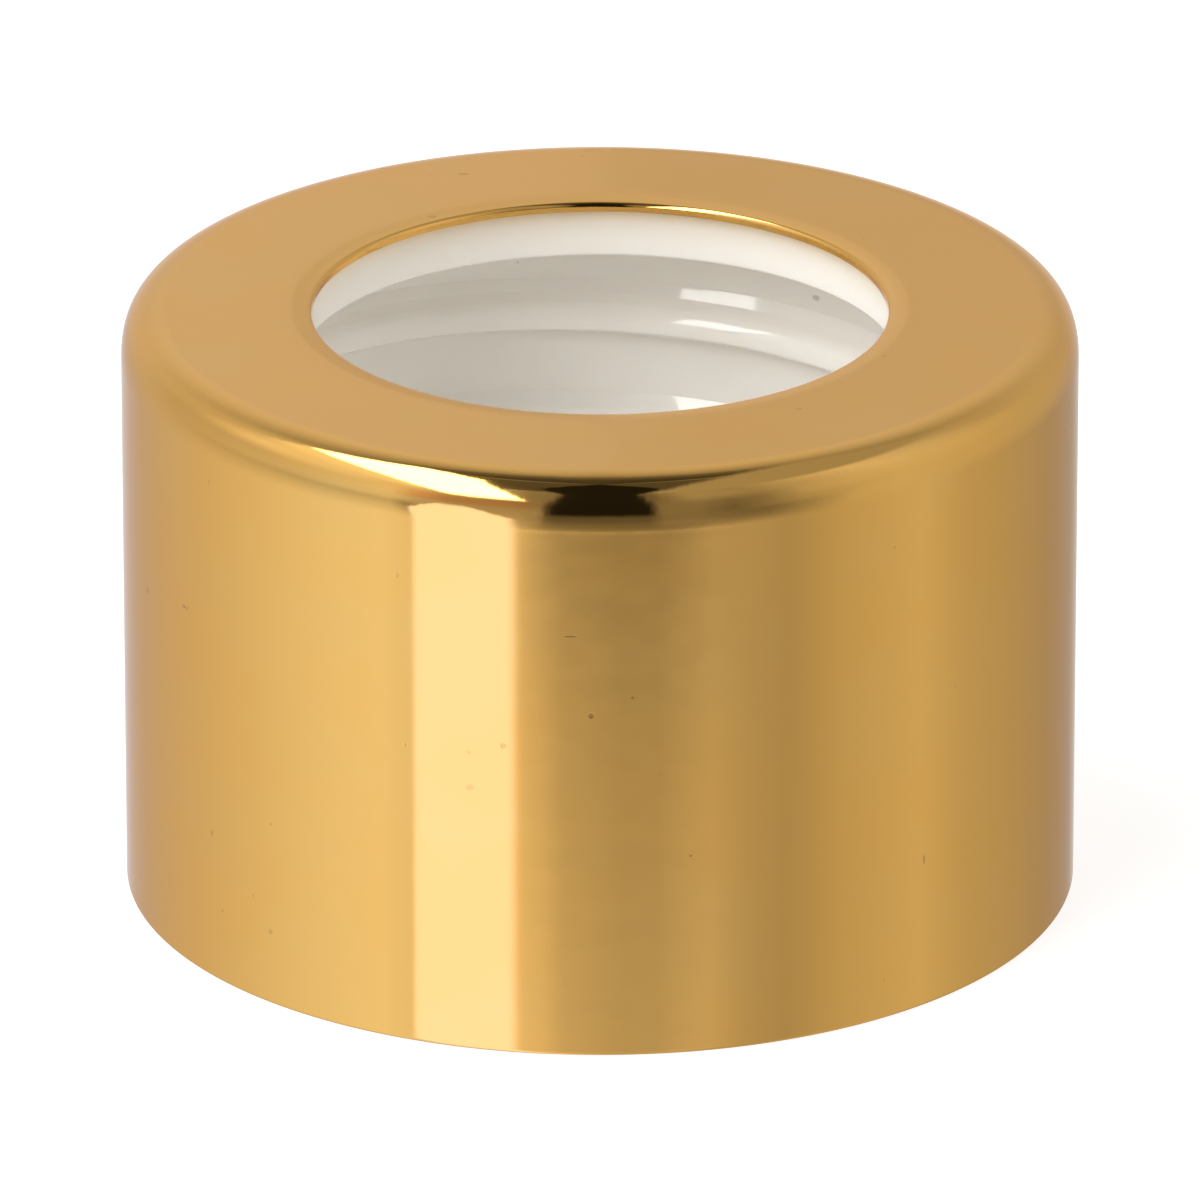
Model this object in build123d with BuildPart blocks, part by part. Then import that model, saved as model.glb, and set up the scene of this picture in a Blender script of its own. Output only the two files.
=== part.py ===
"""Screw collar for a 28 mm bottle neck: a drawn metal shell pressed over a moulded, threaded liner.

Axis +Z up, origin at the centre of the bottom rim, millimetres.
"""

import os
from math import cos, radians, sin
from build123d import *

os.makedirs("parts", exist_ok=True)

# ---------------------------------------------------------------- overall size
outer_diameter = 33.0
overall_height = 20.95
outer_radius = outer_diameter / 2

# ---------------------------------------------------------------- drawn shell
sheet = 0.35                    # wall of the drawn metal
corner_out = 1.53               # how far the top corner reaches in from the side wall
corner_down = 1.72              # how far the top corner reaches down from the top face
corner_fullness = 0.69          # handle length over reach, 0.552 would be an ellipse
opening_radius = 9.92           # clear opening pierced through the top
dish_width = 1.20               # the top sinks slightly towards the opening
dish_depth = 0.04
dish_end_slope = 8.0            # degrees, where the dish meets the rounded edge
edge_round = 0.17               # rounded upper edge of the pierced opening
trim_edge_round = 0.12          # deburred bottom rim
shell_inner_radius = outer_radius - sheet

# ---------------------------------------------------------------- moulded liner
seat_gap = 0.02                 # air between moulding and metal where they would meet
liner_bottom = 0.40             # the liner stops short of the shell's rim
liner_top = overall_height - sheet - seat_gap
liner_body_radius = 15.35       # between the grip ribs
flange_bore_radius = 10.27
flange_underside = overall_height - 2.13
flange_edge_break = 0.08        # chamfer on the flange's lower edge
flange_root_round = 0.45        # inside corner under the flange
shoulder_round = 1.60           # outer top corner, clears the shell's inside corner

# ---------------------------------------------------------------- neck bore and thread
thread_pitch = 4.233            # six threads per inch
thread_root_radius = 14.10      # closure side of a 28 mm neck finish
thread_crest_radius = 13.17
thread_back_depth = 6.03        # crest's lower edge under the top face, at the +Y side
thread_turns_below = 1.88       # turns that continue down from there
thread_turns_above = 0.34       # and up from there
back_azimuth = 90.0             # degrees, the +Y side
ridge_bury = 0.35               # how far the ridge's profile runs into the wall
ridge_root_sink = 0.03          # its outline ends this far behind the wall, for a clean crossing
upper_crest_round = 1.00        # rounding on the ridge's upper side
upper_flank_angle = 53.0        # from the axis
hollow_round = 0.80             # tighter hollow under the flank
hollow_end_angle = 31.0
toe_round = 5.00                # wide hollow that runs out to the wall
toe_end_angle = 24.7            # from the axis, where it meets the wall in a crease
crest_flat = 0.02
lower_crest_round = 0.12
lower_root_round = 0.25
lower_flank_angle = 76.0
fade_radius = 9.0               # cylinder that shaves each end of the ridge down to the wall
fade_overreach = 0.08           # it runs this far into the wall at the very end
fade_outward = 3.0              # height of the shave past the ridge's end
fade_inward = 1.5               # height of the shave towards the next turn
fade_margin = 1.0               # and this much more above, for the ridge's own height
mouth_radius = 14.40            # plain land below the thread
mouth_land_top = 5.20
mouth_chamfer = 0.60

# ---------------------------------------------------------------- grip ribs and ratchet teeth
rib_count = 24
rib_width = 0.90
rib_tip_radius = shell_inner_radius - seat_gap
rib_bottom = 1.10
rib_top = overall_height - 3.30
rib_end_chamfer = 0.50
tooth_count = 16
tooth_length = 1.70
tooth_depth = 0.50
tooth_overcut = 1.0             # the notch starts this far inside the bore's wall


def drawn_shell():
    """One sheet drawn into a cup, its top turned in round the opening."""
    top = overall_height
    inner_top = overall_height - sheet
    side_start = overall_height - corner_down
    top_start = outer_radius - corner_out
    out_handle = corner_out * corner_fullness
    down_handle = corner_down * corner_fullness
    inner_out_handle = (corner_out - sheet) * corner_fullness
    inner_down_handle = (corner_down - sheet) * corner_fullness
    slope = radians(dish_end_slope)
    dish_end = opening_radius + edge_round * (1 - sin(slope))
    dish_start = dish_end + dish_width
    dish_handle = dish_end + dish_depth * cos(slope) / sin(slope)
    with BuildPart() as shell:
        with BuildSketch(Plane.XZ) as section:
            with BuildLine():
                Line((outer_radius, 0), (outer_radius, side_start))
                Bezier(
                    (outer_radius, side_start),
                    (outer_radius, side_start + down_handle),
                    (top_start + out_handle, top),
                    (top_start, top),
                )
                Line((top_start, top), (dish_start, top))
                dish = Bezier((dish_start, top), (dish_handle, top), (dish_end, top - dish_depth))
                edge = JernArc(dish @ 1, dish % 1, edge_round, 90 - dish_end_slope)
                Line(edge @ 1, (opening_radius, inner_top))
                Line((opening_radius, inner_top), (top_start, inner_top))
                Bezier(
                    (top_start, inner_top),
                    (top_start + inner_out_handle, inner_top),
                    (shell_inner_radius, side_start + inner_down_handle),
                    (shell_inner_radius, side_start),
                )
                Line((shell_inner_radius, side_start), (shell_inner_radius, 0))
                Line((shell_inner_radius, 0), (outer_radius, 0))
            make_face()
            rim_corners = section.vertices().sort_by(Axis.Y)[:2]
            fillet(rim_corners, radius=trim_edge_round)
        revolve(axis=Axis.Z)
    return shell


def ratchet_tooth():
    """One saw-tooth notch across the liner's bottom rim, on the +X side."""
    inner_end = thread_root_radius - tooth_overcut
    across = outer_radius - inner_end
    notch_plane = Plane(origin=(inner_end, 0, liner_bottom), x_dir=(0, 1, 0), z_dir=(1, 0, 0))
    with BuildPart() as tooth:
        with BuildSketch(notch_plane):
            with BuildLine():
                Polyline(
                    (0, -tooth_depth),
                    (tooth_length, -tooth_depth),
                    (0, tooth_depth),
                    close=True,
                )
            make_face()
        extrude(amount=across)
    return tooth


def liner_cup():
    """The moulded cup with its top flange and open neck bore, ribs and notches, before the thread."""
    with BuildPart() as cup:
        with BuildSketch(Plane.XZ) as section:
            with BuildLine():
                Polyline(
                    (mouth_radius, liner_bottom),
                    (liner_body_radius, liner_bottom),
                    (liner_body_radius, liner_top),
                    (flange_bore_radius, liner_top),
                    (flange_bore_radius, flange_underside),
                    (thread_root_radius, flange_underside),
                    (thread_root_radius, mouth_land_top + mouth_radius - thread_root_radius),
                    (mouth_radius, mouth_land_top),
                    close=True,
                )
            make_face()
            by_height = section.vertices().group_by(Axis.Y)
            top_corner = by_height[-1].sort_by(Axis.X)[-1]
            fillet(top_corner, radius=shoulder_round)
            underside = section.vertices().filter_by_position(
                Axis.Y, flange_underside - 0.01, flange_underside + 0.01
            )
            flange_edge = underside.sort_by(Axis.X)[0]
            chamfer(flange_edge, length=flange_edge_break)
            underside = section.vertices().filter_by_position(
                Axis.Y, flange_underside - 0.01, flange_underside + 0.01
            )
            flange_root = underside.sort_by(Axis.X)[-1]
            fillet(flange_root, radius=flange_root_round)
            mouth_corner = section.vertices().sort_by(Axis.Y)[:2].sort_by(Axis.X)[0]
            chamfer(mouth_corner, length=mouth_chamfer)
        revolve(axis=Axis.Z)

        rib_inner = liner_body_radius - 0.20
        rib_height = rib_tip_radius - rib_inner
        rib_centre = rib_inner + rib_height / 2
        with BuildSketch(Plane.XY.offset(rib_bottom)):
            with PolarLocations(rib_centre, rib_count):
                Rectangle(rib_height, rib_width)
        extrude(amount=rib_top - rib_bottom)
        tip_edges = cup.faces().filter_by(Axis.Z).edges().filter_by(
            lambda edge: edge.center().X ** 2 + edge.center().Y ** 2 > (rib_tip_radius - 0.05) ** 2
        )
        chamfer(tip_edges, length=rib_end_chamfer)

        tooth = ratchet_tooth()
        with PolarLocations(0, tooth_count):
            add(tooth.part, mode=Mode.SUBTRACT)
    return cup


def ridge_outline():
    """Closed outline of the ridge: x inwards from the root wall, y = 0 at the crest's lower edge."""
    depth = thread_root_radius - thread_crest_radius
    fall = depth + ridge_root_sink
    upper = radians(upper_flank_angle)
    hollow_end = radians(hollow_end_angle)
    toe_end = radians(toe_end_angle)
    lower = radians(lower_flank_angle)
    upper_round_fall = upper_crest_round * (1 - cos(upper))
    hollow_fall = hollow_round * (cos(hollow_end) - cos(upper))
    toe_fall = toe_round * (cos(toe_end) - cos(hollow_end))
    upper_flank = (fall - upper_round_fall - hollow_fall - toe_fall) / sin(upper)
    lower_flank = (fall - (lower_crest_round + lower_root_round) * (1 - cos(lower))) / sin(lower)
    hollow_turn = upper_flank_angle - hollow_end_angle
    toe_turn = hollow_end_angle - toe_end_angle
    crest = Line((depth, 0), (depth, crest_flat))
    up_1 = JernArc(crest @ 1, (0, 1), upper_crest_round, upper_flank_angle)
    up_2 = PolarLine(up_1 @ 1, upper_flank, direction=up_1 % 1)
    up_3 = JernArc(up_2 @ 1, up_2 % 1, hollow_round, -hollow_turn)
    up_4 = JernArc(up_3 @ 1, up_3 % 1, toe_round, -toe_turn)
    down_1 = JernArc(crest @ 0, (0, -1), lower_crest_round, -lower_flank_angle)
    down_2 = PolarLine(down_1 @ 1, lower_flank, direction=down_1 % 1)
    down_3 = JernArc(down_2 @ 1, down_2 % 1, lower_root_round, lower_flank_angle)
    top_end = up_4 @ 1
    bottom_end = down_3 @ 1
    Line(top_end, (-ridge_bury, top_end.Y))
    Line((-ridge_bury, top_end.Y), (-ridge_bury, bottom_end.Y))
    Line((-ridge_bury, bottom_end.Y), bottom_end)


def fade_shave(azimuth, bottom, top):
    """A cylinder set off towards one azimuth, where it reaches the root wall."""
    offset = thread_root_radius + fade_overreach - fade_radius
    centre = (offset * cos(radians(azimuth)), offset * sin(radians(azimuth)), bottom)
    with BuildPart() as shave:
        with Locations(centre):
            Cylinder(fade_radius, top - bottom, align=(Align.CENTER, Align.CENTER, Align.MIN))
    return shave


def thread_ridge():
    """Right-hand single-start ridge on the neck bore, both ends fading into the wall."""
    turns = thread_turns_below + thread_turns_above
    start_height = overall_height - thread_back_depth - thread_turns_below * thread_pitch
    start_azimuth = back_azimuth - 360 * thread_turns_below
    end_height = start_height + turns * thread_pitch
    end_azimuth = start_azimuth + 360 * turns
    profile_plane = Plane(origin=(thread_root_radius, 0, 0), x_dir=(-1, 0, 0), z_dir=(0, 1, 0))
    with BuildPart() as swept:
        with BuildLine() as path:
            Helix(thread_pitch, turns * thread_pitch, thread_root_radius)
        with BuildSketch(profile_plane):
            with BuildLine():
                ridge_outline()
            make_face()
        sweep(path=path.wire(), is_frenet=True)
    low_top = start_height + fade_inward + fade_margin
    high_top = end_height + fade_outward + fade_margin
    low_shave = fade_shave(start_azimuth, start_height - fade_outward, low_top)
    high_shave = fade_shave(end_azimuth, end_height - fade_inward, high_top)
    with BuildPart() as ridge:
        with Locations(Location((0, 0, start_height), (0, 0, start_azimuth))):
            add(swept.part)
        add(low_shave.part, mode=Mode.SUBTRACT)
        add(high_shave.part, mode=Mode.SUBTRACT)
    return ridge


def threaded_liner():
    """The liner as moulded: cup and thread ridge in one piece."""
    cup = liner_cup()
    ridge = thread_ridge()
    with BuildPart() as liner:
        add(cup.part)
        add(ridge.part)
    return liner


shell = drawn_shell()
shell.part.label = "shell"
export_step(shell.part, "parts/shell.step")

liner = threaded_liner()
liner.part.label = "liner"
export_step(liner.part, "parts/liner.step")
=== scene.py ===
"""Looks of the bottle collar: gold metal shell and glossy white threaded liner, on a pale floor.

The studio around it is not a plain one. Its light levels were chosen so that the shell's
reflections repeat those of the reference view; see studio_world.
"""

from math import cos, pi, radians, sin

import bpy
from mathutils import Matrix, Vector


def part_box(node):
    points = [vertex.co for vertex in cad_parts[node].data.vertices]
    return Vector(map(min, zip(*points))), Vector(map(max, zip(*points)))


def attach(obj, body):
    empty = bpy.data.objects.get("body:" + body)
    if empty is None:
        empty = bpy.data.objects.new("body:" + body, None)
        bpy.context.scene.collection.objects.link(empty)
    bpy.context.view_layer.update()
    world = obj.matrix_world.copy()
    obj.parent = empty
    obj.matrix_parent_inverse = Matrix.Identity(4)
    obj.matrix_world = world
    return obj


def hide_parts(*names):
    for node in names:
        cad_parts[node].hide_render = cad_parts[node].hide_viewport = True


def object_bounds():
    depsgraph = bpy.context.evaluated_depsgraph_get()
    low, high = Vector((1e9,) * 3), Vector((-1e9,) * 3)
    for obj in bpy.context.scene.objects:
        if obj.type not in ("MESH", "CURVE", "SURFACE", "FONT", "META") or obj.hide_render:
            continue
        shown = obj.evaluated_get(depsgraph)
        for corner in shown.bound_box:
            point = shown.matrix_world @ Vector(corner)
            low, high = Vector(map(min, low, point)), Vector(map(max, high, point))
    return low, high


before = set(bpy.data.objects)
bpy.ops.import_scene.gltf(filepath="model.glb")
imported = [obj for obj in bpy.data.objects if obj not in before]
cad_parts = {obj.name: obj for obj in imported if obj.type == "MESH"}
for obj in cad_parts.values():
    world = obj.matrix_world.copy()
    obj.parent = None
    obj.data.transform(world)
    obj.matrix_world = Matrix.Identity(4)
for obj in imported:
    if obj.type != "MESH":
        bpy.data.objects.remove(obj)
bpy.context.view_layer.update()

MM = 0.001
DEGREES = 57.29578              # in a radian
scene = bpy.context.scene


# ------------------------------------------------------------------ node helpers
def new_tree(material):
    material.use_nodes = True
    tree = material.node_tree
    tree.nodes.clear()
    return tree


class Graph:
    """Short-hand for math in a shader tree: every call returns an output socket."""

    def __init__(self, tree):
        self.tree = tree

    def node(self, kind, **settings):
        made = self.tree.nodes.new(kind)
        for key, value in settings.items():
            setattr(made, key, value)
        return made

    def put(self, value, socket):
        if isinstance(value, bpy.types.NodeSocket):
            self.tree.links.new(value, socket)
        else:
            socket.default_value = value

    def math(self, operation, *values, clamp=False):
        made = self.node("ShaderNodeMath", operation=operation, use_clamp=clamp)
        for value, socket in zip(values, made.inputs):
            self.put(value, socket)
        return made.outputs[0]

    def add(self, a, b):
        return self.math("ADD", a, b)

    def mul(self, a, b):
        return self.math("MULTIPLY", a, b)

    def step(self, value, low, high):
        """0 below low, 1 above high, smooth between. low may be the larger, for a falling edge."""
        made = self.node("ShaderNodeMapRange", interpolation_type="SMOOTHSTEP")
        self.put(value, made.inputs["Value"])
        rising = low < high
        made.inputs["From Min"].default_value = low if rising else high
        made.inputs["From Max"].default_value = high if rising else low
        made.inputs["To Min"].default_value = 0.0 if rising else 1.0
        made.inputs["To Max"].default_value = 1.0 if rising else 0.0
        return made.outputs["Result"]

    def mix(self, factor, a, b):
        made = self.node("ShaderNodeMix", data_type="FLOAT")
        self.put(factor, made.inputs[0])
        self.put(a, made.inputs[2])
        self.put(b, made.inputs[3])
        return made.outputs[0]

    def tint(self, factor, a, b):
        """Mix of two colours."""
        made = self.node("ShaderNodeMix", data_type="RGBA")
        self.put(factor, made.inputs[0])
        self.put(a, made.inputs[6])
        self.put(b, made.inputs[7])
        return made.outputs[2]

    def split(self, vector):
        made = self.node("ShaderNodeSeparateXYZ")
        self.put(vector, made.inputs[0])
        return made.outputs

    def join(self, x, y, z):
        made = self.node("ShaderNodeCombineXYZ")
        for value, socket in zip((x, y, z), made.inputs):
            self.put(value, socket)
        return made.outputs[0]

    def noise(self, vector, per_mm, detail=2.0, roughness=0.5):
        """Noise about 0.5, with per_mm features to a millimetre."""
        made = self.node("ShaderNodeTexNoise")
        self.put(vector, made.inputs["Vector"])
        made.inputs["Scale"].default_value = per_mm
        made.inputs["Detail"].default_value = detail
        made.inputs["Roughness"].default_value = roughness
        return made.outputs["Fac"]

    def spot(self, place, centre, half_sizes):
        """1 inside a small soft ellipsoid about centre, 0 outside; millimetres."""
        away = self.node("ShaderNodeVectorMath", operation="SUBTRACT")
        self.put(place, away.inputs[0])
        away.inputs[1].default_value = centre
        shaped = self.node("ShaderNodeVectorMath", operation="DIVIDE")
        self.put(away.outputs[0], shaped.inputs[0])
        shaped.inputs[1].default_value = half_sizes
        length = self.node("ShaderNodeVectorMath", operation="LENGTH")
        self.put(shaped.outputs[0], length.inputs[0])
        return self.step(length.outputs["Value"], 1.0, 0.6)

    def spots(self, place, marks):
        total = 0.0
        for centre, half_sizes in marks:
            total = self.math("MAXIMUM", total, self.spot(place, centre, half_sizes))
        return total

    def bump(self, height_mm, normal=None):
        made = self.node("ShaderNodeBump")
        made.inputs["Strength"].default_value = 1.0
        made.inputs["Distance"].default_value = MM
        self.put(height_mm, made.inputs["Height"])
        if normal is not None:
            self.put(normal, made.inputs["Normal"])
        return made.outputs[0]

    def place_mm(self):
        """The shaded point in the part's own frame, in millimetres."""
        scaled = self.node("ShaderNodeVectorMath", operation="SCALE")
        self.put(self.node("ShaderNodeNewGeometry").outputs["Position"], scaled.inputs[0])
        scaled.inputs["Scale"].default_value = 1 / MM
        return scaled.outputs[0]

    def ramp(self, value, stops, low, high):
        """Grey ramp over low..high from (position, brightness) stops, brightness up to 1."""
        made = self.node("ShaderNodeValToRGB")
        elements = made.color_ramp.elements
        while len(elements) < len(stops):
            elements.new(0.5)
        for element, (position, level) in zip(elements, stops):
            element.position = (position - low) / (high - low)
            element.color = (level, level, level, 1)
        scaled = self.node("ShaderNodeMapRange")
        self.put(value, scaled.inputs["Value"])
        scaled.inputs["From Min"].default_value = low
        scaled.inputs["From Max"].default_value = high
        self.tree.links.new(scaled.outputs["Result"], made.inputs["Fac"])
        return made.outputs["Color"]


# ------------------------------------------------------------------ camera
LENS_MM = 510.0
SENSOR_MM = 36.0
VIEW_ELEVATION = radians(22.3)
VIEW_DISTANCE = 0.589
AIM_DROP = 0.00045              # the object sits a little above the middle of the picture

low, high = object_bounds()
centre = (Vector(low) + Vector(high)) / 2
look_up = Vector((0, sin(VIEW_ELEVATION), cos(VIEW_ELEVATION)))
aim = centre - look_up * AIM_DROP
camera_data = bpy.data.cameras.new("camera")
camera_data.lens = LENS_MM
camera_data.sensor_width = SENSOR_MM
camera_data.clip_start = 0.05
camera_data.clip_end = 50.0
camera = bpy.data.objects.new("camera", camera_data)
scene.collection.objects.link(camera)
camera.location = aim + VIEW_DISTANCE * Vector((0, -cos(VIEW_ELEVATION), sin(VIEW_ELEVATION)))
camera.rotation_euler = (radians(90) - VIEW_ELEVATION, 0, 0)
scene.camera = camera
scene.view_settings.view_transform = "Standard"


# ------------------------------------------------------------------ studio
def studio_world():
    """A lit overhead strip on the left, dim panels, a dark slit ahead, a pale table.

    The levels at each azimuth and elevation come from readings of the reference view's
    reflections, turned into directions by a scratch program and picked off its print-out by hand.
    """
    world = bpy.data.worlds.new("studio")
    scene.world = world
    world.use_nodes = True
    tree = world.node_tree
    tree.nodes.clear()
    g = Graph(tree)
    x, y, z = g.split(g.node("ShaderNodeTexCoord").outputs["Generated"])
    azimuth = g.mul(g.math("ARCTAN2", x, g.mul(y, -1.0)), DEGREES)
    elevation = g.mul(g.math("ARCSINE", z), DEGREES)
    off_axis = g.math("ABSOLUTE", azimuth)

    # walls of the light tent, by azimuth, at three heights
    low_wall = g.ramp(
        azimuth,
        [(-180, .90), (-150, .74), (-120, .62), (-90, .66), (-75, .68), (-58, .77), (-50, .79),
         (-43, .53), (-36, .46), (-21, .45), (-14, .38), (-12, .02), (12, .02), (14, .26),
         (23, .25), (31, .17), (39, .28), (51, .49), (62, .62), (75, .70), (90, .67), (120, .60),
         (150, .60), (180, .90)],
        -180, 180,
    )
    mid_wall = g.ramp(
        azimuth,
        [(-180, .74), (-150, .74), (-120, .60), (-90, .66), (-75, .74), (-60, .82), (-50, .90),
         (-43, .66), (-36, .44), (-21, .39), (-14, .31), (-12, .02), (12, .02), (14, .25),
         (23, .27), (31, .21), (39, .27), (50, .56), (62, .68), (75, .73), (90, .71), (120, .60),
         (150, .58), (180, .64)],
        -180, 180,
    )
    high_wall = g.ramp(
        azimuth,
        [(-180, .715), (-177, .82), (-150, .68), (-120, .66), (-98, 1.0), (-60, 1.0), (-44, .80),
         (-20, .30), (-14, .26), (14, .18), (23, .42), (39, .38), (52, .54), (62, .67), (75, .80),
         (98, .68), (120, .52), (150, .60), (177, .76), (180, .715)],
        -180, 180,
    )
    rise = g.step(elevation, 12, 34)
    dome = g.mix(g.ramp(elevation, [(0, 0), (12, 1)], 0, 12), low_wall, mid_wall)
    dome = g.mix(rise, dome, high_wall)
    behind = g.step(off_axis, 115, 145)
    back_fall = g.ramp(
        elevation,
        [(0, 1), (24, 1), (35, .92), (45, .78), (50, .66), (57, .50), (62, .26), (72, .11), (90, .08)],
        0, 90,
    )
    dome = g.mul(dome, g.mix(behind, 1.0, back_fall))

    # overhead: right panel dim, left strip lit, dark between
    over = g.math("DIVIDE", x, g.math("MAXIMUM", z, 0.02))
    ahead = g.math("DIVIDE", y, g.math("MAXIMUM", z, 0.02))
    overhead = g.mul(g.step(elevation, 52, 60), g.math("SUBTRACT", 1.0, behind))
    dome = g.mix(overhead, dome, 0.10)
    right_panel = g.mul(g.step(over, .19, .27), g.step(elevation, 46, 54))
    right_panel = g.mul(right_panel, g.step(ahead, .85, .45))
    dome = g.mix(right_panel, dome, 0.42)
    forward = g.math("MINIMUM", ahead, 0.0)
    inner_edge = g.math("MULTIPLY_ADD", forward, 0.21, -0.25)
    outer_edge = g.math("MULTIPLY_ADD", ahead, 0.36, -0.74)
    far_end = g.step(ahead, 0.46, 0.30)
    halo = g.mul(g.step(g.math("SUBTRACT", over, outer_edge), -0.5, -0.1), g.step(elevation, 22, 34))
    halo = g.mul(g.mul(halo, g.step(g.math("SUBTRACT", inner_edge, over), -0.02, 0.04)), far_end)
    dome = g.mix(halo, dome, 1.15)
    inner = g.step(g.math("SUBTRACT", inner_edge, over), -0.01, 0.03)
    outer = g.step(g.math("SUBTRACT", over, outer_edge), -0.04, 0.05)
    lit = g.mul(g.mul(inner, outer), g.mul(g.step(elevation, 20, 30), far_end))

    # the dark slit straight ahead, wider higher up
    slit_edge = g.math("MULTIPLY_ADD", g.step(elevation, 45, 72), 14.0, 13.0)
    slit = g.step(g.math("SUBTRACT", slit_edge, off_axis), 0.0, 3.0)
    slit = g.mul(slit, g.step(elevation, -3, 1))
    dome = g.mix(slit, dome, 0.015)
    dome = g.mix(lit, dome, 6.4)

    # the table, by azimuth: near the part and far from it
    near = g.ramp(
        azimuth,
        [(-180, .84), (-168, .76), (-157, .69), (-145, .66), (-117, .72), (-78, .86), (-54, .95),
         (-46, .87), (-44, 1.0), (-23, 1.0), (-17, .74), (-9, .52), (5, .43), (14, .43),
         (27, .56), (46, .47), (62, .60), (84, .70), (100, .58), (138, .48), (150, .50),
         (160, .52), (172, .68), (180, .84)],
        -180, 180,
    )
    far = g.ramp(
        azimuth,
        [(-180, .90), (-150, .70), (-90, .58), (-75, .56), (-58, .58), (-50, .60), (-46, .32),
         (-43, .41), (-36, .46), (-20, .50), (-15, .38), (-12, .13), (12, .13), (15, .25),
         (23, .25), (31, .21), (40, .21), (51, .40), (62, .64), (75, .71), (90, .66), (120, .60),
         (150, .60), (180, .90)],
        -180, 180,
    )
    depth = g.math("DIVIDE", g.math("SUBTRACT", -6.0, elevation), 16.0, clamp=True)
    left = g.step(azimuth, -42, -50)
    table = g.mix(g.math("POWER", depth, g.mix(left, 3.0, 1.2)), far, near)
    shade = g.ramp(
        elevation,
        [(-24.0, 1.0), (-23.8, 1.0), (-23.5, .91), (-23.1, .86), (-22.7, .81), (-22.3, .72),
         (-22.1, .58), (-21.8, .50), (-20, .50)],
        -24, -20,
    )
    middle = g.mul(g.step(azimuth, -24, -12), g.step(azimuth, 40, 16))
    table = g.mul(table, g.mix(g.mul(middle, g.step(depth, 0.5, 0.9)), 1.0, g.mul(shade, 1.36)))

    light = g.mix(g.step(elevation, -8, 0), table, dome)

    # the left of the tent is cooler, the right a little warmer
    cool = g.mul(g.step(azimuth, -115, -62), g.step(azimuth, -30, -46))
    cool = g.mul(cool, g.step(elevation, 20, 0))
    warm = g.mul(g.step(azimuth, 40, 60), g.step(elevation, 35, 5))
    cast = g.tint(cool, (1, 1, 1, 1), (1.05, 1.12, 1.24, 1))
    cast = g.tint(warm, cast, (1.0, 0.985, 0.90, 1))
    under = g.mul(g.mul(g.step(azimuth, -52, -42), g.step(azimuth, -12, -18)), g.step(elevation, 3, 9))
    under = g.mul(under, g.step(elevation, 24, 17))
    cast = g.tint(under, cast, (1.08, 0.80, 0.72, 1))
    scaled = g.node("ShaderNodeVectorMath", operation="SCALE")
    g.put(cast, scaled.inputs[0])
    g.put(light, scaled.inputs["Scale"])

    # a cool beam lies across the table, its far end pointed
    taper = g.math("DIVIDE", g.add(elevation, 12.0), 17.0, clamp=True)
    left_edge = g.math("MULTIPLY_ADD", taper, 9.0, -45.2)
    right_edge = g.math("MULTIPLY_ADD", taper, -14.0, -21.0)
    beam = g.mul(
        g.step(g.math("SUBTRACT", azimuth, left_edge), -1.0, 0.6),
        g.step(g.math("SUBTRACT", right_edge, azimuth), -2.2, 1.4),
    )
    beam = g.mul(beam, g.step(elevation, 4.0, -3.0))
    colour = g.tint(beam, scaled.outputs[0], (1.45, 1.50, 2.30, 1))

    paths = g.node("ShaderNodeLightPath")
    seen = g.tint(paths.outputs["Is Camera Ray"], colour, (1, 1, 1, 1))
    background = g.node("ShaderNodeBackground")
    tree.links.new(seen, background.inputs["Color"])
    output = g.node("ShaderNodeOutputWorld")
    tree.links.new(background.outputs[0], output.inputs[0])


def studio_floor():
    """A plain pale table, seen by the camera and by soft light, left out of mirror reflections."""
    mesh = bpy.data.meshes.new("floor")
    reach = 6.0
    corners = [(-reach, -reach, 0), (reach, -reach, 0), (reach, reach, 0), (-reach, reach, 0)]
    mesh.from_pydata(corners, [], [(0, 1, 2, 3)])
    floor = bpy.data.objects.new("floor", mesh)
    scene.collection.objects.link(floor)
    floor.location.z = low[2] - 0.02 * MM
    material = bpy.data.materials.new("floor")
    g = Graph(new_tree(material))
    surface = g.node("ShaderNodeBsdfPrincipled")
    surface.inputs["Base Color"].default_value = (0.45, 0.45, 0.45, 1)
    surface.inputs["Roughness"].default_value = 0.9
    surface.inputs["Emission Color"].default_value = (1, 1, 1, 1)
    surface.inputs["Emission Strength"].default_value = 0.80
    finish_material(g, surface)
    mesh.materials.append(material)
    floor.visible_glossy = False


def shaded_table():
    """The table inside the collar, where no studio light reaches it directly."""
    mesh = bpy.data.meshes.new("shaded_table")
    reach = 14.0 * MM
    rim = [(reach * cos(2 * pi * turn / 48), reach * sin(2 * pi * turn / 48), 0) for turn in range(48)]
    mesh.from_pydata(rim, [], [tuple(range(48))])
    patch = bpy.data.objects.new("shaded_table", mesh)
    scene.collection.objects.link(patch)
    patch.location.z = low[2] - 0.01 * MM
    material = bpy.data.materials.new("shaded_table")
    g = Graph(new_tree(material))
    surface = g.node("ShaderNodeBsdfPrincipled")
    surface.inputs["Base Color"].default_value = (0.62, 0.60, 0.57, 1)
    surface.inputs["Roughness"].default_value = 0.9
    finish_material(g, surface)
    mesh.materials.append(material)


BORE_WATTS = 0.00105
BORE_LIGHT_HEIGHT = 17.0        # millimetres above the bottom rim


def bore_light():
    """A small invented light in the bore, for what scatters about in the translucent moulding."""
    data = bpy.data.lights.new("bore_glow", "POINT")
    data.energy = BORE_WATTS
    data.shadow_soft_size = 2.5 * MM
    data.color = (1.0, 0.965, 0.90)
    glow = bpy.data.objects.new("bore_glow", data)
    scene.collection.objects.link(glow)
    glow.location = (0, 0, BORE_LIGHT_HEIGHT * MM)
    glow.visible_glossy = False
    glow.visible_camera = False


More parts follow.
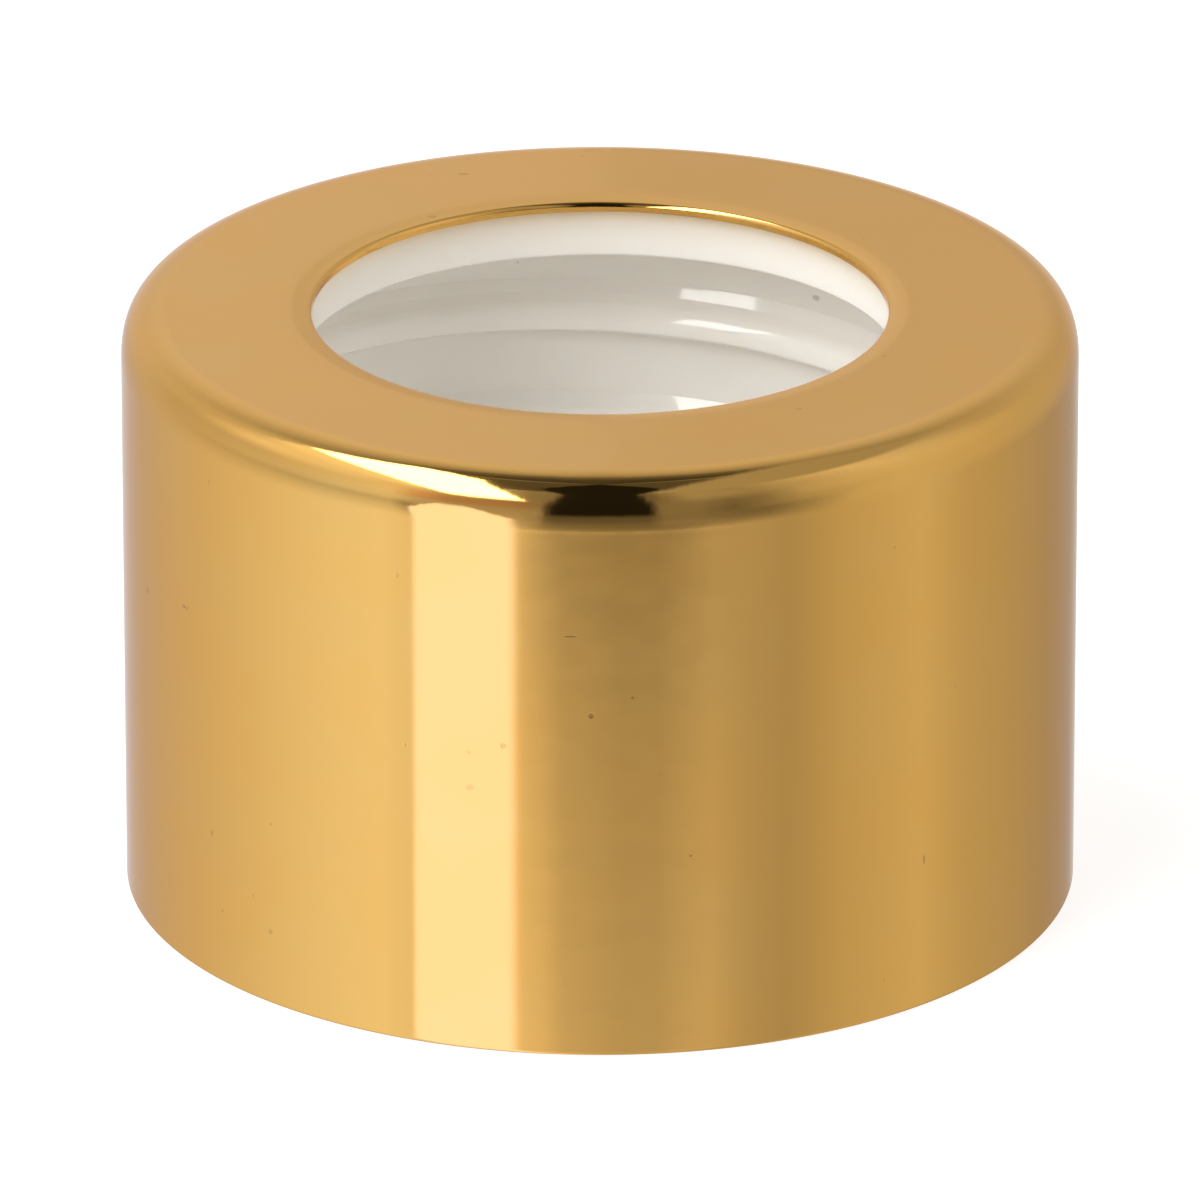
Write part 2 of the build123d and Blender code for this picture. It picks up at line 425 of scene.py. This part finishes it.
# ------------------------------------------------------------------ materials
def finish_material(g, surface):
    output = g.node("ShaderNodeOutputMaterial")
    g.tree.links.new(surface.outputs[0], output.inputs[0])


def gold_material():
    """Polished gold anodising: faint orange peel, drawing lines round the wall, a few specks and nicks."""
    material = bpy.data.materials.new("gold_anodised")
    g = Graph(new_tree(material))
    place = g.place_mm()
    x, y, z = g.split(place)
    peel = g.noise(place, 0.55, 1.0)
    cloud = g.noise(place, 0.22, 2.0)
    # drawing lines: fine in height, long round the wall
    lines = g.noise(g.join(g.mul(x, 0.15), g.mul(y, 0.15), g.mul(z, 9.0)), 1.0, 3.0, 0.6)
    grain = g.noise(place, 14.0, 2.0, 0.6)
    nicks = g.spots(place, NICKS)
    pits = g.step(g.noise(place, 1.7, 0.0), 0.868, 0.885)
    marked = g.math("MAXIMUM", nicks, g.mul(pits, 0.6))

    colour = g.tint(g.step(cloud, 0.35, 0.65), (0.885, 0.500, 0.130, 1), (0.875, 0.508, 0.140, 1))
    colour = g.tint(g.mul(marked, 0.55), colour, (0.46, 0.27, 0.09, 1))
    rough = g.math("MULTIPLY_ADD", g.math("SUBTRACT", cloud, 0.5), 0.04, 0.065)
    rough = g.math("MULTIPLY_ADD", g.math("SUBTRACT", grain, 0.5), 0.03, rough)
    rough = g.math("MULTIPLY_ADD", marked, 0.12, rough)
    # a very faint wrinkle along the drawn corner
    out = g.math("SQRT", g.add(g.mul(x, x), g.mul(y, y)))
    corner_zone = g.mul(g.step(out, 14.6, 15.3), g.step(z, high[2] / MM - 1.9, high[2] / MM - 1.2))
    wrinkle = g.noise(place, 1.1, 2.0, 0.6)
    height = g.mul(peel, 0.0022)
    height = g.math("MULTIPLY_ADD", g.mul(wrinkle, corner_zone), 0.0040, height)
    height = g.math("MULTIPLY_ADD", lines, 0.00002, height)
    height = g.math("MULTIPLY_ADD", marked, -0.002, height)

    surface = g.node("ShaderNodeBsdfPrincipled")
    g.put(colour, surface.inputs["Base Color"])
    g.put(rough, surface.inputs["Roughness"])
    g.put(g.bump(height), surface.inputs["Normal"])
    surface.inputs["Metallic"].default_value = 1.0
    surface.inputs["Specular Tint"].default_value = (0.87, 0.80, 0.82, 1)
    surface.inputs["Coat Weight"].default_value = 0.05
    surface.inputs["Coat Roughness"].default_value = 0.03
    surface.inputs["Coat IOR"].default_value = 1.5
    finish_material(g, surface)
    return material


def liner_material():
    """Glossy white moulding: slight flow waviness, specks, a painted warm reflection of the gold just
    under the gold edge.
    """
    material = bpy.data.materials.new("moulded_white")
    g = Graph(new_tree(material))
    place = g.place_mm()
    x, y, z = g.split(place)
    flow = g.noise(place, 0.5, 2.0)
    grain = g.noise(place, 9.0, 3.0, 0.6)
    flecks = g.spots(place, FLECKS)
    flash = g.spots(place, FLASH)

    top = high[2] / MM
    # painted reflection: an orange tint standing for light off the gold edge, full at the edge and fading
    # below it
    below_edge = g.math("SUBTRACT", top - 0.36, z)
    cast = g.math("POWER", 2.718, g.mul(g.math("MAXIMUM", below_edge, 0.0), -3.0))
    colour = g.tint(g.step(flow, 0.35, 0.65), (0.936, 0.904, 0.853, 1), (0.926, 0.896, 0.848, 1))
    colour = g.tint(cast, colour, (0.97, 0.66, 0.34, 1))
    colour = g.tint(g.mul(flecks, 0.6), colour, (0.42, 0.40, 0.40, 1))
    colour = g.tint(g.mul(flash, 0.8), colour, (0.99, 0.985, 0.97, 1))
    rough = g.math("MULTIPLY_ADD", g.math("SUBTRACT", grain, 0.5), 0.04, 0.05)
    height = g.math("MULTIPLY_ADD", flow, 0.010, g.mul(grain, 0.0001))
    height = g.math("MULTIPLY_ADD", flash, 0.04, height)

    surface = g.node("ShaderNodeBsdfPrincipled")
    g.put(colour, surface.inputs["Base Color"])
    g.put(rough, surface.inputs["Roughness"])
    g.put(g.bump(height), surface.inputs["Normal"])
    surface.inputs["IOR"].default_value = 1.58
    surface.inputs["Subsurface Weight"].default_value = 0.6
    surface.inputs["Subsurface Radius"].default_value = (1.0, 0.9, 0.8)
    surface.inputs["Subsurface Scale"].default_value = 1.2 * MM
    finish_material(g, surface)
    return material


# small marks, each a centre and half sizes in millimetres
NICKS = [
    ((-0.99, -16.5, 15.43), (0.24, 1.0, 0.04)),
    ((-0.30, -16.5, 12.55), (0.10, 1.0, 0.12)),
    ((1.10, -16.5, 13.2), (0.06, 1.0, 0.06)),
    ((11.05, -12.2, 5.45), (0.05, 1.0, 0.20)),
    ((-6.60, -15.1, 10.9), (0.05, 1.0, 0.09)),
    ((-14.2, -8.4, 13.2), (0.08, 1.0, 0.08)),
]
FLECKS = [((7.6, 12.0, 16.6), (0.16, 1.0, 0.13)), ((-2.9, 13.4, 17.2), (0.05, 1.0, 0.05))]
FLASH = [((-3.45, 12.9, 14.86), (0.34, 0.8, 0.09)), ((-2.95, 13.0, 14.72), (0.16, 0.8, 0.16))]


# ------------------------------------------------------------------ the shell's smooth surface
AROUND = 320                    # facets round the axis
SHEET = 0.35                    # the driving sizes of the CAD node, millimetres and degrees
CORNER_OUT = 1.53
CORNER_DOWN = 1.72
CORNER_FULLNESS = 0.69
OPENING_RADIUS = 9.92
EDGE_ROUND = 0.17
DISH_WIDTH = 1.2
DISH_DEPTH = 0.04
DISH_SLOPE = 8.0
TRIM_ROUND = 0.12
SUPPORT = 0.03                  # a row of facets this close holds a flat stretch flat
SHORT_SUPPORT = 0.01


def bezier(points, steps):
    """Points along a Bezier of any degree, without its first one."""
    made = []
    for step in range(1, steps + 1):
        level = [Vector(point) for point in points]
        while len(level) > 1:
            level = [a.lerp(b, step / steps) for a, b in zip(level, level[1:])]
        made.append(level[0])
    return made


def arc(centre, radius, start, end, steps):
    """Points along an arc, angles in degrees, without its first one."""
    made = []
    for step in range(1, steps + 1):
        angle = radians(start + (end - start) * step / steps)
        made.append(Vector((centre[0] + radius * cos(angle), centre[1] + radius * sin(angle))))
    return made


def corner(start, end, square, steps):
    """The drawn corner between start and end; square is where its two tangents cross."""
    controls = []
    for tip in (start, end):
        controls.append((
            tip[0] + (square[0] - tip[0]) * CORNER_FULLNESS,
            tip[1] + (square[1] - tip[1]) * CORNER_FULLNESS,
        ))
    return bezier([start, controls[0], controls[1], end], steps)


def shell_outline():
    """Closed outline of the drawn sheet, (radius, height) in millimetres, same sizes as the CAD node."""
    shell_low, shell_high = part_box("shell")
    outside = min(-shell_low[0], -shell_low[1], shell_high[0], shell_high[1]) / MM
    top = shell_high[2] / MM
    inside = outside - SHEET
    side = top - CORNER_DOWN
    flat = outside - CORNER_OUT
    slope = radians(DISH_SLOPE)
    dish_end = OPENING_RADIUS + EDGE_ROUND * (1 - sin(slope))
    dish_start = dish_end + DISH_WIDTH
    dish_handle = dish_end + DISH_DEPTH * cos(slope) / sin(slope)
    dish_low = top - DISH_DEPTH
    under = top - SHEET
    round_centre = (OPENING_RADIUS + EDGE_ROUND, dish_low - EDGE_ROUND * cos(slope))

    # up the outside wall, round the corner and in over the top
    points = [
        Vector((outside, TRIM_ROUND)),
        Vector((outside, TRIM_ROUND + SUPPORT)),
        Vector((outside, side - SUPPORT)),
        Vector((outside, side)),
    ]
    points += corner((outside, side), (flat, top), (outside, top), 48)
    points.append(Vector((flat - SUPPORT, top)))
    points.append(Vector((dish_start + SUPPORT, top)))
    points.append(Vector((dish_start, top)))
    # down the dish and over the edge of the opening
    points += bezier([(dish_start, top), (dish_handle, top), (dish_end, dish_low)], 24)
    points += arc(round_centre, EDGE_ROUND, 90 + DISH_SLOPE, 180, 16)
    points.append(Vector((OPENING_RADIUS, round_centre[1] - SHORT_SUPPORT)))
    points.append(Vector((OPENING_RADIUS, under + SHORT_SUPPORT)))
    points.append(Vector((OPENING_RADIUS, under)))
    # back along the underside and down the inside wall
    points.append(Vector((OPENING_RADIUS + SHORT_SUPPORT, under)))
    points.append(Vector((flat, under)))
    points += corner((flat, under), (inside, side), (inside, under), 16)
    points.append(Vector((inside, TRIM_ROUND + SUPPORT)))
    points.append(Vector((inside, TRIM_ROUND)))
    # round the trimmed edge; the last point is the first one again, so it is left out
    points += arc((inside + TRIM_ROUND, TRIM_ROUND), TRIM_ROUND, 180, 270, 8)
    points.append(Vector((outside - TRIM_ROUND, 0)))
    points += arc((outside - TRIM_ROUND, TRIM_ROUND), TRIM_ROUND, 270, 360, 8)[:-1]
    return points


def smooth_shell():
    """The shell again, finely faceted, so that it mirrors without breaks."""
    outline = shell_outline()
    vertices = []
    for point in outline:
        for turn in range(AROUND):
            angle = 2 * pi * turn / AROUND
            vertices.append((point[0] * MM * cos(angle), point[0] * MM * sin(angle), point[1] * MM))
    faces = []
    rows = len(outline)
    for row in range(rows):
        for turn in range(AROUND):
            here = row * AROUND + turn
            beside = row * AROUND + (turn + 1) % AROUND
            above = ((row + 1) % rows) * AROUND + (turn + 1) % AROUND
            over = ((row + 1) % rows) * AROUND + turn
            faces.append((here, beside, above, over))
    mesh = bpy.data.meshes.new("shell_surface")
    mesh.from_pydata(vertices, [], faces)
    mesh.shade_smooth()
    mesh.validate()
    mesh.update()
    piece = bpy.data.objects.new("shell_surface", mesh)
    scene.collection.objects.link(piece)
    mesh.materials.append(gold_material())
    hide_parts("shell")
    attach(piece, "root")


def dress(node, material):
    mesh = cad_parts[node].data
    for index in range(len(mesh.materials)):
        mesh.materials[index] = material


studio_world()
studio_floor()
shaded_table()
bore_light()
smooth_shell()
dress("liner", liner_material())
